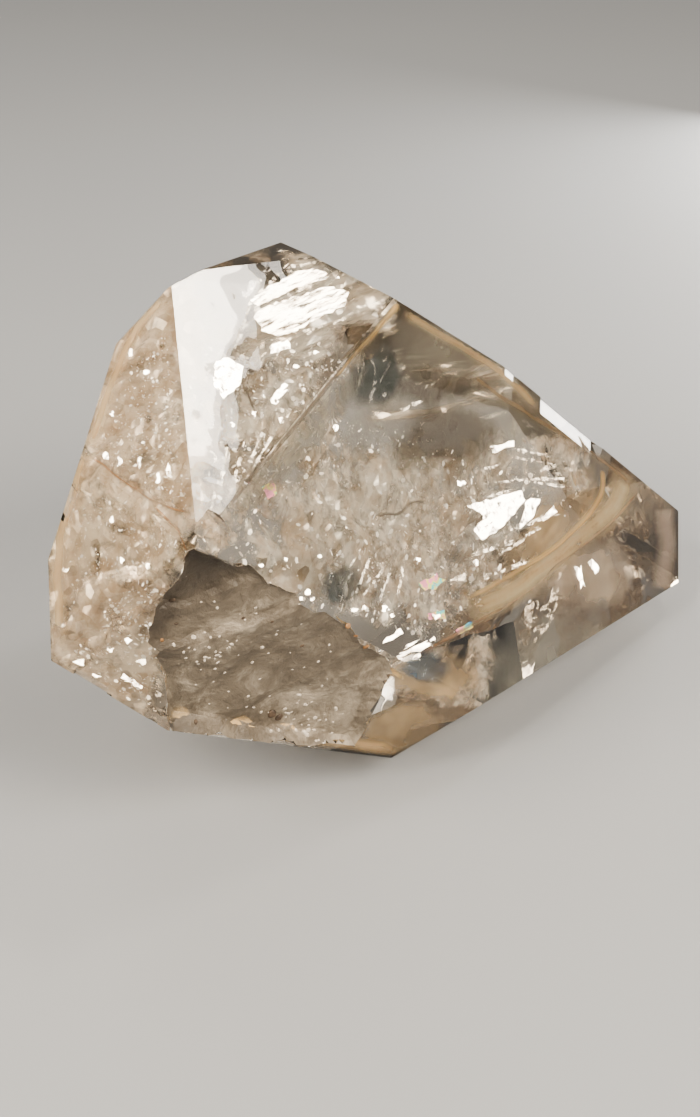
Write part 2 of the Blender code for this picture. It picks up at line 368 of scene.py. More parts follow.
def grain(name, scale, dark, light, rough):
    """A small grain of iron or quartz stuck to the surface."""
    material, tree, shader = new_material(name)
    tone = ramp(tree, clouds(tree, place(tree), scale), [(0.3, dark), (0.7, light)])
    tree.links.new(tone, shader.inputs["Base Color"])
    shader.inputs["Roughness"].default_value = rough
    return material


def mirror_film(name, stops, patchy=0.35, rough=0.1, scale=600.0, seed=0.0, stretch=0.0,
    turn=(0.0, 0.0, 0.0)):
    """An air-thin crack that mirrors the light."""
    material, tree, shader = new_material(name)
    where = place(tree, seed)
    if stretch:
        where = drawn_out(tree, where, stretch, turn)
    tree.links.new(ramp(tree, clouds(tree, where, scale), stops), shader.inputs["Base Color"])
    gaps = clouds(tree, where, scale * 2.2, 5.0, 0.7)
    tree.links.new(between(tree, gaps, patchy, patchy + 0.12), shader.inputs["Alpha"])
    ripples = put(tree, "ShaderNodeBump", {"Height": gaps, "Strength": 0.08, "Distance": 0.0002})
    tree.links.new(ripples.outputs["Normal"], shader.inputs["Normal"])
    shader.inputs["Metallic"].default_value = 1.0
    shader.inputs["Roughness"].default_value = rough
    return material


# Pieces

def finish_piece(name, bm, materials, smooth=True):
    """Makes the piece of the mesh, with its finish, riding on the crystal.

    Only the skin and the grains on it cast a shadow: no lamp shines straight on the films inside.
    """
    mesh = bpy.data.meshes.new(name)
    bm.to_mesh(mesh)
    bm.free()
    for poly in mesh.polygons:
        poly.use_smooth = smooth
    for material in materials:
        mesh.materials.append(material)
    piece = bpy.data.objects.new(name, mesh)
    bpy.context.scene.collection.objects.link(piece)
    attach(piece, "root")
    piece.visible_shadow = name == "crystal_skin" or "grains" in name
    return piece


def sheet_grid(cells):
    """A grid from -1 to 1 with its own map named sheet."""
    bm = bmesh.new()
    bmesh.ops.create_grid(bm, x_segments=cells[0], y_segments=cells[1], size=1.0, calc_uvs=False)
    layer = bm.loops.layers.uv.new("sheet")
    for f in bm.faces:
        for loop in f.loops:
            loop[layer].uv = (loop.vert.co.x * 0.5 + 0.5, loop.vert.co.y * 0.5 + 0.5)
    return bm


def keep_in(spot, skin=0.12):
    """Moves a point, in metres, to just inside the crystal where it would stick out."""
    near, outward, _, _ = skin_tree.find_nearest(spot)
    if (spot - near).dot(outward) < -skin * MM:
        return spot
    return near + (HEART * MM - near).normalized() * skin * 1.6 * MM


def trim_outside(bm):
    """Takes away the parts of a film that cut through the crystal's surface."""
    outside = []
    for f in bm.faces:
        middle = f.calc_center_median()
        near, outward, _, _ = skin_tree.find_nearest(middle)
        if (middle - near).dot(outward) > -0.03 * MM:
            outside.append(f)
    bmesh.ops.delete(bm, geom=outside, context="FACES")


def sheet(name, face, corners, material, cells=(36, 24), rumple=0.25, seed=1.0):
    """A rumpled film inside the crystal, seen through a face.

    corners are (px, py, deep mm), in order round it.
    """
    bm = sheet_grid(cells)
    for vert in bm.verts:
        u = vert.co.x * 0.5 + 0.5
        v = vert.co.y * 0.5 + 0.5
        low = Vector(corners[0]).lerp(Vector(corners[1]), u)
        high = Vector(corners[3]).lerp(Vector(corners[2]), u)
        spot = low.lerp(high, v)
        deep = spot.z + rumple * noise.noise(Vector((u * 8.0, v * 6.0, seed)))
        vert.co = keep_in(inside(face, spot.x, spot.y, max(deep, 0.08)) * MM)
    trim_outside(bm)
    return finish_piece(name, bm, [material])


def route_point(route, u):
    """Place and direction on a smooth route through picture points, u from 0 to 1."""
    last = len(route) - 1
    u = u * last
    i = min(int(u), last - 1)
    a, b, c, d = (Vector(route[min(max(k, 0), last)]) for k in (i - 1, i, i + 1, i + 2))
    t = u - i
    square = 2 * a - 5 * b + 4 * c - d
    cube = 3 * b - a - 3 * c + d
    spot = 0.5 * ((2 * b) + (c - a) * t + square * t ** 2 + cube * t ** 3)
    return spot, ((c - a) * (1 - t) + (d - b) * t).normalized()


def band(name, face, route, half_width, deep_near, deep_far, material, cells=(40, 4), taper=1.0, stray=0.25):
    """A film along a route of picture points: its one side near the face, the other deeper."""
    bm = sheet_grid(cells)
    for vert in bm.verts:
        v = vert.co.y * 0.5 + 0.5
        spot, run = route_point(route, vert.co.x * 0.5 + 0.5)
        half = half_width * (1.0 + (taper - 1.0) * (vert.co.x * 0.5 + 0.5))
        wander = stray * half_width * noise.noise(Vector((spot.x * 0.045, spot.y * 0.045, half_width)))
        spot = spot + Vector((-run.y, run.x)) * (half * (2.0 * v - 1.0) + wander)
        vert.co = keep_in(inside(face, spot.x, spot.y, deep_near + (deep_far - deep_near) * v) * MM)
    return finish_piece(name, bm, [material])


def sliver(x0, y0, x1, y1, start, end):
    """The outline of a thin film from one place to another, start and end px wide."""
    side = Vector((y0 - y1, x1 - x0)).normalized()
    return [(x0 - side.x * start / 2, y0 - side.y * start / 2),
        (x1 - side.x * end / 2, y1 - side.y * end / 2),
            (x1 + side.x * end / 2, y1 + side.y * end / 2),
            (x0 + side.x * start / 2, y0 + side.y * start / 2)]


def dot(x, y, wide, tall):
    """The outline of a small, unevenly broken film."""
    reach = [0.86 + 0.22 * math.sin(2.4 * k + x) for k in range(8)]
    turns = [k * math.pi / 4 for k in range(8)]
    return [(x + wide / 2 * r * math.cos(t), y + tall / 2 * r * math.sin(t)) for r, t in zip(reach, turns)]


def ragged(outline, amount, seed):
    """The outline with an uneven, broken edge."""
    edge = []
    for (x0, y0), (x1, y1) in zip(outline, outline[1:] + outline[:1]):
        side = Vector((y0 - y1, x1 - x0))
        pieces = max(1, round(side.length / 4.0))
        for k in range(pieces):
            u = k / pieces
            x = x0 + (x1 - x0) * u
            y = y0 + (y1 - y0) * u
            off = side.normalized() * amount * noise.noise(Vector((x, y, seed)) * 0.37)
            edge.append((x + off.x, y + off.y))
    return edge


def plates(name, face, deep, outlines, material, wobble=0.0, seed=0):
    """Flat crack films that flash a soft panel, each drawn by its outline in the picture."""
    dice = random.Random(seed)
    bm = bmesh.new()
    for outline in outlines:
        outline = ragged(outline, 3.0, seed + 0.5)
        px = sum(p[0] for p in outline) / len(outline)
        py = sum(p[1] for p in outline) / len(outline)
        middle = inside(face, px, py, deep)
        lean = Vector((dice.gauss(0, wobble), dice.gauss(0, wobble), dice.gauss(0, wobble)))
        facing = (flash_way(face, middle) + lean).normalized()
        corners = []
        for x, y in outline:
            start = inside(face, x, y, 0.0)
            way = inside(face, x, y, 1.0) - start
            reach = (middle - start).dot(facing) / way.dot(facing)
            corners.append(bm.verts.new(keep_in((start + way * max(reach, 0.1)) * MM)))
        bmesh.ops.contextual_create(bm, geom=corners)
    return finish_piece(name, bm, [material], smooth=False)


def in_outline(x, y, outline):
    """Whether a picture point is inside a closed outline."""
    hit = False
    for (x0, y0), (x1, y1) in zip(outline, outline[1:] + outline[:1]):
        if (y0 > y) != (y1 > y) and x < (x1 - x0) * (y - y0) / (y1 - y0) + x0:
            hit = not hit
    return hit


def flecks(name, face, outline, count, deep, size, material, seed, flashing=0.5):
    """Many tiny flat films, seen through a face within an outline of picture points.

    A share of them, flashing, mirror a soft panel to the camera; the rest lie at random.
    """
    dice = random.Random(seed)
    xs = [p[0] for p in outline]
    ys = [p[1] for p in outline]
    bm = bmesh.new()
    made = 0
    while made < count:
        px = dice.uniform(min(xs), max(xs))
        py = dice.uniform(min(ys), max(ys))
        if not in_outline(px, py, outline):
            continue
        made += 1
        spot = inside(face, px, py, deep[0] + (deep[1] - deep[0]) * dice.random() ** 1.5)
        jitter = Vector((dice.gauss(0, 1), dice.gauss(0, 1), dice.gauss(0, 1)))
        loose = 0.16 if dice.random() < flashing else 2.0
        facing = (flash_way(face, spot) + jitter * loose).normalized()
        spin = Matrix.Rotation(dice.uniform(0.0, 6.28), 4, "Z")
        turned = facing.to_track_quat("Z", "Y").to_matrix().to_4x4() @ spin
        big = size[0] + (size[1] - size[0]) * dice.random() ** 3
        shape = Matrix.Diagonal((1.0, dice.uniform(0.2, 0.8), 1.0, 1.0))
        placing = Matrix.Translation(keep_in(spot * MM, 0.4)) @ turned @ shape
        bmesh.ops.create_circle(bm, cap_ends=True, segments=5, radius=big * MM, matrix=placing)
    return finish_piece(name, bm, [material], smooth=False)


def crystal_skin():
    """The crystal's surface: the solid's own form with crisp, slightly worn edges and a frosted hollow."""
    bm = bmesh.new()
    bm.from_mesh(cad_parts["crystal"].data)
    bmesh.ops.remove_doubles(bm, verts=bm.verts, dist=0.000002)
    bmesh.ops.dissolve_limit(bm, angle_limit=math.radians(0.6), verts=bm.verts, edges=bm.edges)
    outward, point = face_plane("bottom")
    for f in bm.faces:
        below = (point * MM - f.calc_center_median()).dot(outward)
        if f.calc_area() < 0.5e-6 and f.normal.dot(outward) > 0.5 and below > 0.00004:
            f.material_index = 1
    wear = bm.edges.layers.float.new("bevel_weight_edge")
    for edge in bm.edges:
        if len(edge.link_faces) == 2 and min(f.calc_area() for f in edge.link_faces) > 4e-6:
            edge[wear] = 1.0
    tree = BVHTree.FromBMesh(bm)
    piece = finish_piece("crystal_skin", bm, [clear_quartz(), frosted_break()], smooth=False)
    bevel = piece.modifiers.new("worn edges", "BEVEL")
    bevel.limit_method = "WEIGHT"
    bevel.width = 0.00009
    bevel.segments = 2
    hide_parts("crystal")
    return tree


skin_tree = crystal_skin()


def specks(name, spots, material, seed):
    """Small grains lying on the surface at places in the picture: (px, py, mm across)."""
    dice = random.Random(seed)
    bm = bmesh.new()
    for px, py, across in spots:
        hit, outward, _, _ = skin_tree.ray_cast(EYE * MM, sight(px, py))
        spin = Matrix.Rotation(dice.uniform(0, 6.28), 4, "Z")
        turned = outward.to_track_quat("Z", "Y").to_matrix().to_4x4() @ spin
        shape = Matrix.Diagonal((1.0, dice.uniform(0.5, 0.9), 0.3, 1.0))
        placing = Matrix.Translation(hit) @ turned @ shape
        bmesh.ops.create_icosphere(bm, subdivisions=2, radius=across / 2 * MM, matrix=placing)
    for vert in bm.verts:
        vert.co += vert.normal * 0.05 * MM * noise.noise(vert.co * 4000.0)
    return finish_piece(name, bm, [material])


PALE = (1.0, 0.955, 0.86)
TAN = (0.75, 0.625, 0.47)
milk = sparkling_veil("milky veil", PALE, (0.66, 0.54, 0.4), 0.66, 1700.0, 0.14, 0.3)
haze = sparkling_veil("warm veil", (1.0, 0.925, 0.8), (0.66, 0.53, 0.39), 0.58, 1700.0, 0.2, 1.7)
rosy = sparkling_veil("rosy veil", (0.92, 0.815, 0.66), (0.56, 0.43, 0.3), 0.84, 1900.0, 0.12, 2.9)
silk_turn = grain_turn("top right", (255, 318), (340, 280))
silk = sparkling_veil("silky veil", PALE, TAN, 0.7, 2400.0, 0.35, 2.1, 9.0, silk_turn)
fan_turn = grain_turn("right", (480, 500), (570, 478))
fan = sparkling_veil("fan veil", PALE, TAN, 0.45, 2400.0, 0.4, 3.7, 9.0, fan_turn)
glint = mirror_film("mirror fleck", [(0.3, (0.96, 0.9, 0.8)), (0.6, (1.0, 0.98, 0.95))], 0.2, 0.36)
glint.node_tree.nodes["Principled BSDF"].inputs["Metallic"].default_value = 0.55
flash = mirror_film("flashing crack", [(0.3, (0.98, 0.95, 0.9)), (0.6, (1.0, 0.99, 0.97))], 0.36, 0.16, 900.0)
silk_flash = mirror_film("silky flash", [(0.3, (0.8, 0.74, 0.65)), (0.6, (1.0, 0.98, 0.95))], 0.4, 0.2,
    2400.0, 3.3, 9.0, silk_turn)
streak = mirror_film("silky streak", [(0.3, (0.7, 0.64, 0.55)), (0.6, (0.95, 0.9, 0.82))], 0.47, 0.34,
    1100.0, 4.7)
rainbow = mirror_film("rainbow film", [(0.34, (0.03, 0.22, 0.85)), (0.44, (0.1, 0.75, 0.7)),
    (0.52, (0.95, 0.85, 0.15)), (0.6, (0.95, 0.3, 0.5))], 0.3, 0.3, 1500.0)
rainbow.node_tree.nodes["Principled BSDF"].inputs["Metallic"].default_value = 0.08
# Painted shade: the teal, dark lobe, grey and blue films darken clear quartz where it shows only shade; the
# pale lobe and amber films are tints
teal = tint_and_painted_shade_film("teal shadow", (0.07, 0.09, 0.095), (0.03, 0.045, 0.05), 0.85, 0.46, 0.7)
painted_dark_lobe = tint_and_painted_shade_film("painted dark lobe", (0.17, 0.14, 0.105), (0.09, 0.075, 0.058), 0.68, 0.46, 1.9)
grey = tint_and_painted_shade_film("painted grey window", (0.4, 0.38, 0.32), (0.22, 0.215, 0.19), 0.5, 0.55, 2.7)
blue = tint_and_painted_shade_film("blue shadow", (0.1, 0.18, 0.26), (0.035, 0.06, 0.1), 0.7, 0.45, 3.3)
lobe = tint_and_painted_shade_film("pale lobe", (0.72, 0.6, 0.465), (0.4, 0.315, 0.235), 0.55, 0.48, 4.1)
amber = tint_and_painted_shade_film("amber haze", (0.8, 0.6, 0.34), (0.42, 0.295, 0.16), 0.52, 0.48, 5.3)
gold = iron_stain("golden stain", (1.0, 0.78, 0.4), (0.8, 0.5, 0.18), 0.95, 0.85, 0.2)
blush = iron_stain("faint golden stain", (1.0, 0.78, 0.46), (0.84, 0.56, 0.28), 1.2, 0.46, 1.1)
glow = iron_stain("glowing stain", (1.0, 0.86, 0.54), (0.88, 0.6, 0.27), 0.85, 0.46, 5.1)
blushing = iron_stain("rosy rim", (1.0, 0.82, 0.68), (0.88, 0.64, 0.48), 1.2, 0.28, 6.2)
seam = iron_stain("dark seam", (0.2, 0.16, 0.12), (0.09, 0.07, 0.05), 0.6, 0.8, 2.2)
honey = iron_stain("honey stain", (0.86, 0.62, 0.33), (0.6, 0.4, 0.19), 1.2, 0.85, 3.1)
brown = iron_stain("brown stain", (0.42, 0.3, 0.17), (0.22, 0.15, 0.08), 0.8, 0.6, 4.4)
rust = iron_stain("rust stain", (0.5, 0.28, 0.13), (0.25, 0.12, 0.05), 0.62, 0.8, 0.9)

# The right face: milky sparkling middle, painted shade in dark lobes and windows above it, a fan of clear
# cracks and the stained arcs
sheet("veil_middle", "right", [(200, 612, 1.6), (470, 660, 3.0), (455, 400, 3.4), (225, 470, 1.4)], milk,
    rumple=1.1)
sheet("veil_middle_low", "right", [(290, 640, 2.6), (500, 650, 4.0), (545, 470, 5.0), (320, 470, 3.5)], haze,
    rumple=1.6, seed=4.0)
sheet("veil_middle_back", "right", [(230, 620, 6.0), (560, 620, 8.0), (560, 410, 9.0), (270, 420, 6.0)],
    milk, rumple=1.8, seed=5.0)
sheet("veil_deep", "right", [(270, 590, 12.0), (540, 590, 15.0), (520, 420, 16.0), (300, 440, 12.0)], haze,
    rumple=2.2, seed=31.0)
sheet("fan_right", "right", [(455, 600, 1.6), (560, 540, 2.0), (580, 440, 2.4), (470, 450, 2.6)], fan,
    rumple=0.7, seed=6.0)
# Painted shade: grey, teal and dark films over clear windows that show only shade
sheet("window_top", "right", [(330, 470, 2.2), (560, 470, 2.2), (560, 345, 2.2), (350, 310, 2.2)], grey,
    rumple=0.4, seed=9.0)
sheet("shadow_top", "right", [(330, 415, 0.8), (412, 410, 0.8), (404, 340, 0.8), (352, 345, 0.8)], teal,
    rumple=0.2)
sheet("lobe_high", "right", [(385, 412, 1.0), (480, 402, 1.0), (478, 362, 1.2), (384, 362, 1.2)], painted_dark_lobe,
    rumple=0.2)
sheet("lobe_low", "right", [(388, 470, 1.2), (512, 466, 1.2), (504, 400, 1.4), (400, 402, 1.4)], painted_dark_lobe,
    rumple=0.2)
sheet("shadow_centre", "right", [(312, 606, 0.7), (372, 612, 0.7), (368, 560, 0.7), (322, 566, 0.7)], teal,
    rumple=0.15)
band("seam_centre", "right", [(376, 518), (388, 512), (398, 512), (410, 504), (424, 499)], 2.6, 0.4, 0.7,
    seam, stray=2.5)
band("seam_edge", "right", [(330, 372), (352, 352), (366, 338), (380, 326)], 2.6, 0.2, 0.5, seam)
band("seam_top", "top right", [(240, 358), (252, 372), (262, 366), (268, 384)], 3.0, 0.4, 0.8, seam,
    stray=2.0)
band("seam_top_low", "top right", [(248, 372), (249, 392), (256, 410), (262, 424)], 1.8, 0.4, 0.8, seam,
    stray=3.0)
# Painted shade: grey and blue films over clear windows that show only shade
sheet("shadow_seam", "right", [(216, 520, 0.5), (246, 528, 0.5), (378, 372, 0.5), (352, 358, 0.5)], grey,
    rumple=0.15)
sheet("window_right", "right", [(470, 716, 0.8), (596, 700, 0.8), (626, 606, 1.0), (500, 606, 1.2)], grey,
    rumple=0.3)
sheet("shadow_blue", "right", [(396, 690, 0.5), (452, 688, 0.5), (454, 642, 0.5), (400, 648, 0.5)], blue,
    rumple=0.2)
sheet("lobe_pale", "right", [(520, 610, 0.9), (628, 622, 0.9), (640, 530, 1.2), (552, 546, 1.2)], lobe,
    rumple=0.3)
sheet("amber_low", "right", [(384, 722, 0.7), (486, 704, 0.7), (470, 640, 0.7), (376, 648, 0.7)], amber,
    rumple=0.2)
sheet("haze_low", "right", [(388, 722, 1.2), (506, 712, 1.2), (512, 620, 1.4), (396, 640, 1.4)], haze,
    rumple=0.4, seed=21.0)
sheet("haze_fan", "right", [(520, 512, 1.4), (604, 500, 1.4), (600, 426, 1.4), (508, 420, 1.4)], haze,
    rumple=0.4, seed=22.0)
sheet("haze_window", "right", [(340, 440, 1.8), (540, 440, 1.8), (540, 350, 1.8), (350, 320, 1.8)], fan,
    rumple=0.4, seed=23.0)
sheet("amber_right", "right", [(448, 640, 1.6), (560, 590, 1.6), (628, 460, 1.6), (560, 460, 1.6)], amber,
    rumple=0.2)
band("stain_between", "right", [(630, 474), (606, 513), (562, 553), (524, 582), (466, 616)], 18.0, 0.4, 1.0,
    glow)
band("stain_arc_gold", "right", [(603, 468), (599, 499), (561, 542), (519, 570), (464, 601)], 4.0, 0.3, 1.6,
    gold)
band("stain_arc_rust", "right", [(643, 485), (606, 527), (556, 563), (531, 589), (472, 625), (400, 665)],
    2.8, 0.2, 1.4, rust, stray=0.5)
band("stain_edge_middle", "right", [(396, 303), (350, 357), (300, 418), (255, 472), (222, 512)], 1.3, 0.08,
    0.3, seam, stray=0.8)
band("stain_edge_top", "right", [(399, 303), (382, 323), (356, 352), (334, 378)], 4.4, 0.08, 0.5, gold,
    taper=0.2)
band("stain_rim_top", "right", [(402, 312), (450, 340), (498, 370), (540, 410)], 7.0, 0.1, 0.5, blush)
band("stain_rim_brown", "right", [(466, 370), (500, 396), (545, 424), (592, 452), (640, 492)], 6.0, 0.2, 0.7,
    brown)
band("stain_rim_right", "right", [(664, 508), (667, 545), (662, 590)], 12.0, 0.15, 0.6, blushing)
plates("flash_right", "right", 1.0, [
    [(466, 506), (490, 499), (522, 490), (525, 500), (514, 514), (502, 528), (482, 541), (473, 528),
    (487, 517)],
    [(527, 499), (540, 499), (533, 519), (520, 528)],
    sliver(384, 641, 402, 631, 3, 7), sliver(396, 657, 430, 643, 2, 7), sliver(404, 648, 418, 641, 3, 2),
    sliver(491, 450, 513, 443, 6, 4), sliver(542, 520, 555, 509, 3, 7), sliver(382, 664, 420, 656, 3, 6),
    dot(461, 483, 10, 8), dot(476, 563, 7, 6), dot(492, 549, 5, 5), dot(385, 609, 7, 7), dot(392, 615, 5, 4),
    dot(436, 616, 9, 4),
    dot(433, 640, 7, 5), dot(308, 592, 7, 7), dot(302, 599, 4, 4), dot(313, 598, 3, 4), dot(354, 610, 9, 4),
    dot(364, 608, 5, 5), dot(336, 428, 6, 6), sliver(577, 566, 584, 588, 7, 3),
    sliver(590, 560, 597, 573, 6, 4), dot(418, 560, 5, 4), dot(286, 560, 5, 4), dot(262, 566, 6, 4),
    dot(320, 556, 5, 4),
], flash, 0.03, 2)
plates("streaks_right", "right", 1.2, [
    sliver(482, 470, 500, 465, 4, 2), sliver(536, 472, 557, 465, 3, 2), sliver(500, 534, 560, 512, 2, 5),
    sliver(470, 556, 520, 540, 2, 4), sliver(480, 484, 566, 478, 1, 2), sliver(476, 500, 520, 488, 1, 2),
    sliver(500, 454, 572, 468, 1, 2), sliver(496, 446, 560, 458, 1, 2), sliver(510, 478, 570, 488, 1, 2),
    sliver(492, 560, 544, 524, 2, 4), sliver(476, 580, 530, 560, 2, 4), sliver(330, 600, 364, 545, 2, 1),
    sliver(352, 604, 372, 552, 2, 1), sliver(342, 612, 350, 575, 4, 2), sliver(360, 600, 390, 560, 2, 1),
    sliver(378, 604, 392, 566, 2, 2), sliver(398, 596, 404, 556, 2, 1), sliver(424, 388, 440, 378, 2, 1),
    sliver(398, 412, 424, 400, 3, 1), sliver(372, 396, 392, 360, 1, 2), sliver(356, 398, 366, 356, 1, 2),
], streak, 0.05, 9)
plates("rainbow_right", "right", 1.4, [
    [(418, 582), (436, 574), (446, 580), (436, 590), (422, 589)],
    [(428, 612), (444, 610), (446, 619), (430, 620)],
    [(455, 629), (472, 622), (474, 628), (458, 635)],
    [(262, 488), (272, 480), (278, 494), (268, 500)],
], rainbow, 0.04, 3)
flecks("flecks_middle", "right", [(225, 590), (240, 500), (330, 420), (440, 430), (480, 480), (490, 590),
    (440, 650), (360, 615)], 1800, (0.5, 4.5), (0.03, 0.2), glint, 1, 0.4)
flecks("flecks_right", "right", [(470, 470), (560, 450), (580, 500), (530, 560), (470, 600)], 120,
    (0.8, 4.0), (0.05, 0.26), glint, 6, 0.8)

# The upper face: the silky fan and the sparkle under it
sheet("veil_top", "top right", [(190, 560, 1.4), (275, 480, 2.4), (356, 350, 3.0), (176, 330, 1.6)], milk,
    rumple=0.9, seed=7.0)
sheet("veil_top_back", "top right", [(190, 560, 5.0), (300, 480, 6.0), (395, 300, 7.0), (170, 270, 5.0)],
    haze, rumple=1.6, seed=17.0)
sheet("haze_top", "top right", [(296, 350, 1.6), (408, 330, 1.6), (400, 280, 1.8), (262, 232, 1.8)], silk,
    rumple=0.3, seed=24.0)
sheet("haze_tip", "top right", [(196, 574, 0.9), (250, 540, 0.9), (262, 470, 1.2), (188, 470, 1.0)], haze,
    rumple=0.3, seed=25.0)
sheet("silk_top", "top right", [(222, 372, 1.6), (336, 374, 1.8), (380, 292, 2.0), (238, 262, 1.6)], silk,
    rumple=0.3, seed=3.0)
plates("flash_top", "top right", 0.8, [
    [(216, 362), (228, 358), (243, 366), (239, 386), (225, 398), (213, 386)],
    sliver(270, 350, 289, 344, 7, 9), sliver(273, 402, 287, 384, 8, 5), dot(316, 352, 6, 5),
    dot(338, 278, 5, 2),
    dot(232, 424, 6, 5), dot(254, 414, 5, 7), dot(296, 366, 6, 4), dot(280, 420, 5, 8), dot(264, 396, 4, 6),
], flash, 0.02, 4)
plates("flash_silk", "top right", 0.8, [
    [(254, 318), (262, 308), (276, 303), (300, 296), (330, 286), (348, 292), (344, 306), (328, 314),
    (310, 322), (296, 332), (277, 337), (262, 330)],
    [(250, 300), (272, 284), (296, 272), (318, 268), (330, 276), (300, 286), (270, 300), (254, 308)],
], silk_flash, 0.0, 14)
plates("streaks_top", "top right", 1.0, [
    sliver(250, 312, 308, 262, 2, 3), sliver(254, 314, 326, 276, 3, 4), sliver(258, 318, 338, 286, 3, 5),
    sliver(262, 322, 346, 296, 4, 5), sliver(246, 306, 290, 264, 2, 3), sliver(262, 302, 322, 270, 2, 1),
    sliver(244, 298, 270, 266, 4, 2), sliver(284, 268, 316, 262, 2, 3), sliver(236, 350, 250, 300, 5, 2),
    sliver(316, 318, 350, 300, 4, 2), sliver(330, 326, 360, 308, 3, 2), sliver(296, 336, 330, 322, 3, 2),
    sliver(226, 506, 246, 440, 1, 3), sliver(216, 508, 230, 446, 1, 3), sliver(236, 486, 264, 434, 1, 4),
    sliver(212, 500, 216, 450, 2, 1), sliver(208, 520, 222, 470, 2, 2), sliver(224, 512, 240, 470, 2, 1),
    sliver(252, 470, 272, 436, 1, 3), sliver(262, 452, 290, 410, 2, 3), sliver(206, 512, 209, 470, 2, 1),
], streak, 0.05, 10)
flecks("flecks_top", "top right", [(200, 530), (188, 380), (215, 340), (330, 340), (345, 360), (240, 500)],
    1000, (0.5, 3.0), (0.03, 0.17), glint, 2, 0.5)

# The left faces: rosy sparkle, rust thread and golden rim
sheet("veil_left", "left", [(20, 720, 0.9), (182, 590, 1.0), (212, 530, 1.2), (40, 390, 0.9)], rosy,
    rumple=0.5, seed=8.0)
sheet("veil_top_left", "top left", [(36, 500, 0.9), (230, 590, 1.0), (202, 220, 1.2), (90, 270, 0.9)], rosy,
    rumple=0.5, seed=9.0)
sheet("veil_bottom_left", "bottom left", [(16, 676, 0.7), (160, 760, 0.8), (200, 560, 1.0), (60, 570, 0.7)],
    rosy, rumple=0.5, seed=12.0)
flecks("flecks_left", "left", [(60, 640), (60, 520), (90, 470), (185, 545), (120, 620)], 600, (0.3, 1.0),
    (0.03, 0.14), glint, 3, 0.45)
flecks("flecks_top_left", "top left", [(100, 440), (125, 370), (165, 330), (190, 530)], 560, (0.3, 1.0),
    (0.03, 0.14), glint, 4, 0.45)
flecks("flecks_bottom_left", "bottom left", [(65, 660), (110, 610), (180, 575), (160, 720)], 500, (0.3, 1.0),
    (0.03, 0.17), glint, 5, 0.5)
plates("flash_bottom_left", "bottom left", 0.5, [
    dot(79, 662, 13, 8), dot(142, 662, 12, 8), sliver(122, 676, 142, 688, 5, 4), dot(96, 676, 10, 6),
    dot(128, 640, 8, 6),
    dot(166, 606, 6, 10), dot(186, 594, 6, 6), dot(110, 650, 7, 5),
], flash, 0.03, 5)
plates("flash_left", "left", 0.5, [
    dot(66, 570, 8, 6), dot(96, 590, 5, 4), dot(122, 560, 5, 7), dot(148, 566, 5, 6), dot(112, 520, 5, 7),
    dot(64, 626, 6, 5),
], flash, 0.03, 7)
plates("flash_top_left", "top left", 0.5, [
    dot(106, 456, 7, 9), dot(120, 462, 5, 12), dot(146, 372, 9, 4), dot(130, 352, 5, 9), dot(158, 478, 6, 12),
    dot(168, 470, 5, 16), dot(140, 462, 4, 14), dot(112, 414, 5, 6),
], flash, 0.03, 8)
band("rim_left_gold", "left", [(84, 452), (68, 505), (58, 560), (60, 645)], 9.0, 0.08, 0.4, blush)
band("rim_shoulder_gold", "top left", [(164, 296), (130, 340), (108, 395), (90, 446)], 6.5, 0.08, 0.4, blush)
band("thread_rust", "top left", [(90, 456), (120, 478), (152, 500), (190, 514)], 2.0, 0.08, 0.3, rust,
    stray=1.2)
band("thread_left", "left", [(150, 506), (176, 532), (188, 558)], 1.5, 0.08, 0.3, rust, stray=1.2)

# The lower face round the hollow
band("rim_low_gold", "bottom", [(168, 724), (250, 733), (320, 740), (400, 750)], 9.0, 0.35, 0.7, honey)
sheet("amber_corner", "bottom", [(344, 764, 0.5), (452, 742, 0.5), (436, 694, 0.6), (362, 706, 0.6)], amber,
    rumple=0.1)
band("rim_hollow_gold", "bottom", [(336, 618), (352, 642), (376, 660), (404, 680)], 4.0, 0.05, 0.3, gold)

dark_grain = grain("dark grain", 3000.0, (0.03, 0.02, 0.015), (0.12, 0.08, 0.05), 0.6)
rust_grain = grain("rust grain", 2600.0, (0.16, 0.08, 0.03), (0.36, 0.2, 0.09), 0.5)
# Pale grains: partly real pale specks on the hollow, partly painted highlight where the hollow glints
glint_and_pale_grain = grain("pale grain and painted glint", 2600.0, (0.36, 0.31, 0.25), (0.66, 0.59, 0.5), 0.3)
specks("rust_grains", [(348, 626, 0.4), (366, 647, 0.45), (356, 636, 0.25), (162, 640, 0.2)], rust_grain, 12)
specks("dark_grains", [
    (272, 714, 0.55), (279, 717, 0.5), (172, 600, 0.36), (176, 624, 0.24),
    (272, 622, 0.2), (302, 646, 0.26), (196, 722, 0.26), (243, 618, 0.16),
], dark_grain, 8)
# Pale grains clustered where the hollow glints are painted highlight; the scattered ones are real pale specks
dice = random.Random(31)
glint_and_pale_spots = [(dice.gauss(212, 16), dice.gauss(652, 10), dice.uniform(0.1, 0.26)) for _ in range(30)]
glint_and_pale_spots += [(dice.gauss(304, 22), dice.gauss(716, 14), dice.uniform(0.1, 0.32)) for _ in range(46)]
glint_and_pale_spots += [(dice.uniform(190, 335), dice.uniform(590, 720), dice.uniform(0.08, 0.2)) for _ in range(40)]
specks("pale_grains", glint_and_pale_spots, glint_and_pale_grain, 15)

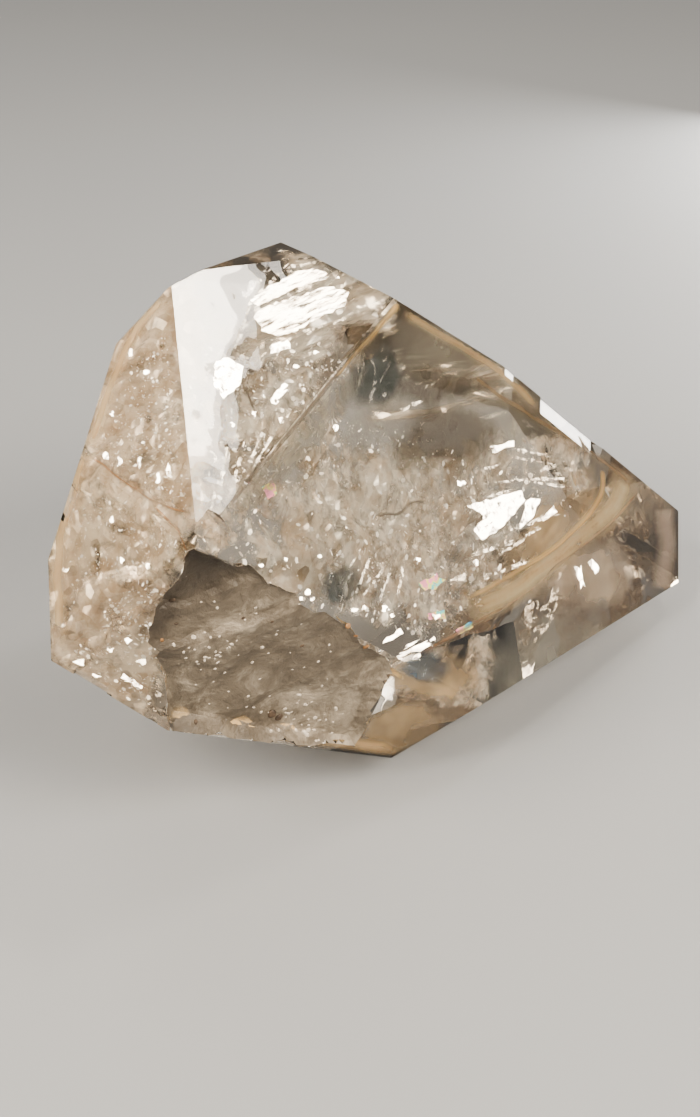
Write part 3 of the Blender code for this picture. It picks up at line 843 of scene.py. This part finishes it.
floor_mesh = bmesh.new()
bmesh.ops.create_grid(floor_mesh, x_segments=2, y_segments=2, size=1.5)
floor_data = bpy.data.meshes.new("floor")
floor_mesh.to_mesh(floor_data)
floor_mesh.free()
floor = bpy.data.objects.new("floor", floor_data)
bpy.context.scene.collection.objects.link(floor)
paper, paper_tree, paper_shader = new_material("pale paper")
paper_tone = ramp(paper_tree, clouds(paper_tree, place(paper_tree), 6.0),
    [(0.3, (0.284, 0.294, 0.308)), (0.7, (0.303, 0.314, 0.329))])
paper_tree.links.new(paper_tone, paper_shader.inputs["Base Color"])
paper_shader.inputs["Roughness"].default_value = 0.7
floor_data.materials.append(paper)


def panel(name, middle, towards, wide, tall, power, colour, upright=None):
    """A soft panel light, placed in mm; upright is the way that its tall side runs."""
    data = bpy.data.lights.new(name, "AREA")
    data.shape = "RECTANGLE"
    data.size = wide * MM
    data.size_y = tall * MM
    data.energy = power
    data.color = colour
    lamp = bpy.data.objects.new(name, data)
    bpy.context.scene.collection.objects.link(lamp)
    lamp.visible_camera = False
    back = (middle - towards).normalized()
    up = (upright or Vector((0.0, 0.0, 1.0)))
    up = (up - back * up.dot(back)).normalized()
    side = up.cross(back)
    lamp.matrix_world = Matrix.Translation(middle * MM) @ Matrix((side, up, back)).transposed().to_4x4()
    return lamp


def mirrored_panel(name, top, low, left, light, colour):
    """A panel of a given radiance that the upper face mirrors between three places in the picture."""
    top, low, left = (in_mirror("top right", px, py, KEY_FAR) for px, py in (top, low, left))
    up = top - low
    out = (left - low) - up.normalized() * (left - low).dot(up.normalized())
    middle = low + up * 0.5 + out * 0.5
    power = light * math.pi * out.length * up.length * MM * MM
    return panel(name, middle, CENTRE, out.length, up.length, power, colour, up)


mirrored_panel("strip panel", (230, 250), (206, 450), (120, 400), 26.0, (1.0, 0.91, 0.77))
mirrored_panel("inner strip panel", (250, 250), (214, 490), (120, 400), 15.0, (1.0, 0.9, 0.76))
mirrored_panel("glow panel", (276, 250), (222, 520), (120, 400), 11.0, (1.0, 0.94, 0.86))
panel("right panel", SOFT_RIGHT, CENTRE, SOFT_SIZE, SOFT_SIZE, SOFT_POWER, SOFT_COLOUR)
panel("left panel", SOFT_LEFT, CENTRE, SOFT_SIZE, SOFT_SIZE, SOFT_POWER, SOFT_COLOUR)
panel("back panel", Vector((-120.0, 200.0, 220.0)), CENTRE, 120.0, 80.0, 0.12, (1.0, 0.96, 0.9))
chip_way = sight(566, 428)
chip_spot, chip_out, _, _ = skin_tree.ray_cast(EYE * MM, chip_way)
low_middle = mirrored(chip_out, chip_spot / MM, chip_way, 110.0)
low_middle.z = 26.0
panel("low panel", low_middle, CENTRE, 70.0, 50.0, 0.11, (1.0, 0.96, 0.9))

world = bpy.data.worlds.new("studio")
world.use_nodes = True
sky = world.node_tree
way_up = put(sky, "ShaderNodeSeparateXYZ", {"Vector": put(sky,
    "ShaderNodeTexCoord").outputs["Generated"]}).outputs["Z"]
sky_tone = ramp(sky, way_up, [(0.0, (0.22, 0.215, 0.208)), (0.42, (0.29, 0.282, 0.272)),
    (1.0, (0.52, 0.5, 0.47))])
sky.links.new(sky_tone, sky.nodes["Background"].inputs["Color"])
sky.nodes["Background"].inputs["Strength"].default_value = 0.6
bpy.context.scene.world = world

camera_data = bpy.data.cameras.new("camera")
camera_data.lens = FOCAL_PX / PICTURE[1] * camera_data.sensor_width
camera_data.clip_start = 0.001
camera = bpy.data.objects.new("camera", camera_data)
bpy.context.scene.collection.objects.link(camera)
camera.location = EYE * MM
camera.rotation_euler = (math.radians(90.0 - LOOK_DOWN), 0.0, 0.0)
bpy.context.scene.camera = camera
bpy.context.scene.cycles.max_bounces = 12
bpy.context.scene.cycles.transmission_bounces = 12
bpy.context.scene.cycles.glossy_bounces = 6
bpy.context.scene.cycles.transparent_max_bounces = 20
bpy.context.scene.view_settings.view_transform = "AgX"
bpy.context.scene.view_settings.look = "AgX - Medium High Contrast"
